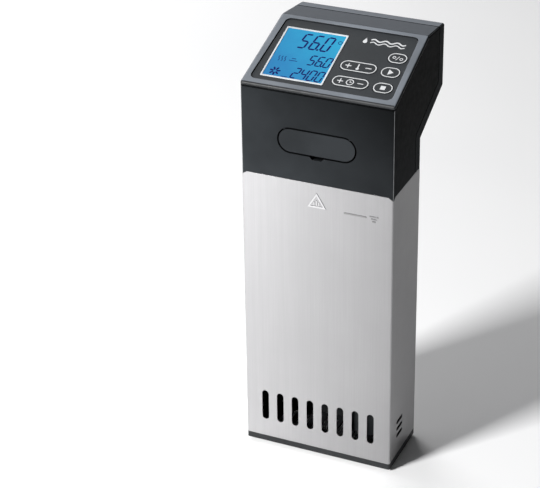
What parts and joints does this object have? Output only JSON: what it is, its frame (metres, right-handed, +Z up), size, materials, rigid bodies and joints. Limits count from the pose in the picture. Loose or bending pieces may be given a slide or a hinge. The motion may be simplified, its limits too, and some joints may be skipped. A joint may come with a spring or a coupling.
{
  "type": "sous vide circulator",
  "caption": "Clamp-on water bath circulator: a black head with a sloped control panel and keys on a rectangular steel sleeve that holds a heater and a pump.",
  "frame": {"origin": "centre of the bounding box at the underside of the feet", "axes": "+Z up along the sleeve, -Y towards the front with the display, +X to the viewer's right"},
  "size_m": [0.11, 0.121, 0.3053],
  "materials": {
    "front_housing": "fine satin grain",
    "pocket_cup": "fine satin grain",
    "rear_cover": "fine satin grain",
    "panel_bezel": "satin",
    "control_panel": "satin film",
    "display_frame": "white print",
    "display_glass": "blue backlit display",
    "display_module": "moulded",
    "temp_key": "satin film",
    "time_key": "satin film",
    "unit_key": "satin film",
    "start_key": "satin film",
    "stop_key": "satin film",
    "key_mat": "silicone",
    "key_board": "circuit board",
    "access_flap": "fine satin grain",
    "reset_button": "moulded",
    "reset_switch": "pressed",
    "sleeve": "brushed upright",
    "base_grille": "fine satin grain",
    "foot_left": "matte",
    "foot_right": "matte",
    "chassis_plate": "cast and machined",
    "chassis_seal": "matte",
    "motor_body": "zinc plated",
    "drive_shaft": "ground",
    "shaft_bearing": "turned",
    "cooling_fan": "moulded",
    "impeller": "moulded",
    "pump_volute": "moulded",
    "stay_left": "drawn",
    "stay_right": "drawn",
    "heater_element": "drawn tube",
    "temperature_probe": "drawn",
    "float_stem": "drawn",
    "level_float": "moulded",
    "power_board": "circuit board",
    "transformer": "laminated",
    "heat_sink": "extruded",
    "capacitor": "sleeved",
    "cable_gland": "moulded",
    "clamp_bracket": "brushed",
    "backing_pad": "matte",
    "pad_plate": "turned",
    "pad_shoe": "matte",
    "clamp_spindle": "threaded",
    "clamp_knob": "moulded",
    "bracket_screw_left": "zinc plated",
    "bracket_screw_right": "zinc plated",
    "cover_screw_top_left": "zinc plated",
    "cover_screw_top_right": "zinc plated",
    "cover_screw_low_left": "zinc plated",
    "cover_screw_low_right": "zinc plated",
    "sleeve_screw_left": "zinc plated",
    "sleeve_screw_right": "zinc plated"
  },
  "bodies": {
    "main_body": {"front_housing": "front_housing", "pocket_cup": "pocket_cup", "rear_cover": "rear_cover", "panel_bezel": "panel_bezel", "control_panel": "control_panel", "display_frame": "display_frame", "display_glass": "display_glass", "display_module": "display_module", "key_mat": "key_mat", "key_board": "key_board", "reset_switch": "reset_switch", "sleeve": "sleeve", "base_grille": "base_grille", "foot_left": "foot_left", "foot_right": "foot_right", "chassis_plate": "chassis_plate", "chassis_seal": "chassis_seal", "motor_body": "motor_body", "shaft_bearing": "shaft_bearing", "pump_volute": "pump_volute", "stay_left": "stay_left", "stay_right": "stay_right", "heater_element": "heater_element", "temperature_probe": "temperature_probe", "float_stem": "float_stem", "power_board": "power_board", "transformer": "transformer", "heat_sink": "heat_sink", "capacitor": "capacitor", "cable_gland": "cable_gland", "clamp_bracket": "clamp_bracket", "backing_pad": "backing_pad", "bracket_screw_left": "bracket_screw_left", "bracket_screw_right": "bracket_screw_right", "cover_screw_top_left": "cover_screw_top_left", "cover_screw_top_right": "cover_screw_top_right", "cover_screw_low_left": "cover_screw_low_left", "cover_screw_low_right": "cover_screw_low_right", "sleeve_screw_left": "sleeve_screw_left", "sleeve_screw_right": "sleeve_screw_right"},
    "flap": {"access_flap": "access_flap"},
    "reset": {"reset_button": "reset_button"},
    "temp_rocker": {"temp_key": "temp_key"},
    "time_rocker": {"time_key": "time_key"},
    "unit_push": {"unit_key": "unit_key"},
    "start_push": {"start_key": "start_key"},
    "stop_push": {"stop_key": "stop_key"},
    "rotor": {"drive_shaft": "drive_shaft", "cooling_fan": "cooling_fan", "impeller": "impeller"},
    "float": {"level_float": "level_float"},
    "clamp_pad": {"pad_plate": "pad_plate", "pad_shoe": "pad_shoe"},
    "clamp_screw": {"clamp_spindle": "clamp_spindle", "clamp_knob": "clamp_knob"}
  },
  "joints": [
    {"name": "flap_hinge", "type": "hinge", "parent": "main_body", "child": "flap", "pos_m": [0, -0.05945, 0.25135], "axis": [-1, 0, 0], "range_deg": [0, 70]},
    {"name": "reset_press", "type": "slide", "parent": "main_body", "child": "reset", "axis": [0, 1, 0], "range_m": [0, 0.0015], "stiffness_N_per_m": 400},
    {"name": "temp_rock", "type": "hinge", "parent": "main_body", "child": "temp_rocker", "pos_m": [0.0176, -0.03044, 0.28827], "axis": [0, 0.9336, 0.3583], "range_deg": [-2.2, 2.2], "stiffness_Nm_per_rad": 0.2},
    {"name": "time_rock", "type": "hinge", "parent": "main_body", "child": "time_rocker", "pos_m": [0.0176, -0.04435, 0.28293], "axis": [0, 0.9336, 0.3583], "range_deg": [-2.2, 2.2], "stiffness_Nm_per_rad": 0.2},
    {"name": "unit_press", "type": "slide", "parent": "main_body", "child": "unit_push", "axis": [0, 0.3583, -0.9336], "range_m": [0, 0.0005], "stiffness_N_per_m": 800},
    {"name": "start_press", "type": "slide", "parent": "main_body", "child": "start_push", "axis": [0, 0.3583, -0.9336], "range_m": [0, 0.0005], "stiffness_N_per_m": 800},
    {"name": "stop_press", "type": "slide", "parent": "main_body", "child": "stop_push", "axis": [0, 0.3583, -0.9336], "range_m": [0, 0.0005], "stiffness_N_per_m": 800},
    {"name": "rotor_spin", "type": "hinge", "parent": "main_body", "child": "rotor", "pos_m": [0.03, -0.0292, 0.12], "axis": [0, 0, 1], "continuous": true},
    {"name": "float_rise", "type": "slide", "parent": "main_body", "child": "float", "axis": [0, 0, 1], "range_m": [0, 0.012]},
    {"name": "pad_travel", "type": "slide", "parent": "main_body", "child": "clamp_pad", "axis": [0, -1, 0], "range_m": [0, 0.0131]},
    {"name": "knob_turn", "type": "hinge", "parent": "clamp_pad", "child": "clamp_screw", "pos_m": [0, 0.0298, 0.2], "axis": [0, -1, 0], "range_deg": [0, 1179.1]}
  ],
  "couplings": [
    {"joint": "knob_turn", "follows": "pad_travel", "rad_per_m": 1570.8}
  ]
}
